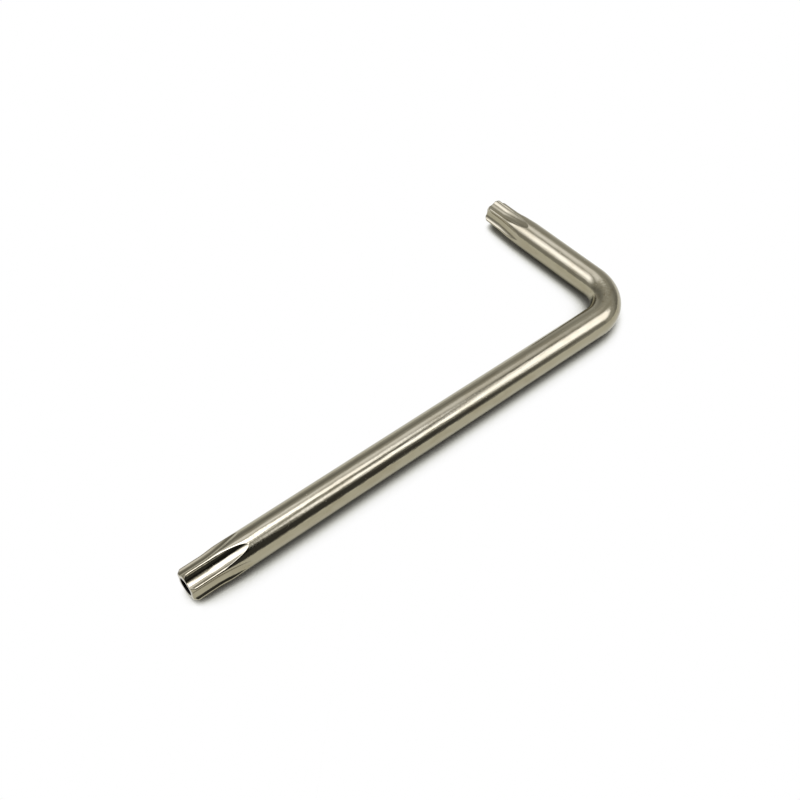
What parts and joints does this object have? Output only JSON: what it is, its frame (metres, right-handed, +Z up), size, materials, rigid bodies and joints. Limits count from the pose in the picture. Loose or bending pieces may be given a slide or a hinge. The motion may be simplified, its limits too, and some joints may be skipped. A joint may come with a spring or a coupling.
{
  "type": "star key",
  "caption": "L-shaped driver of round nickel-plated steel wire, with a pressed star tip and a pin hole at each end, for turning star screws that have a centre pin.",
  "frame": {"origin": "under the middle of the key's box, on the surface that the key lies on", "axes": "+X along the long arm from its star to the bend, +Y along the short arm from the bend to its star, +Z up"},
  "size_m": [0.059, 0.023, 0.0035],
  "materials": {
    "nickel_plate": "bright nickel plate over drawn wire, with fine marks along the wire"
  },
  "bodies": {
    "root": {"star_key": "nickel_plate"}
  },
  "joints": []
}
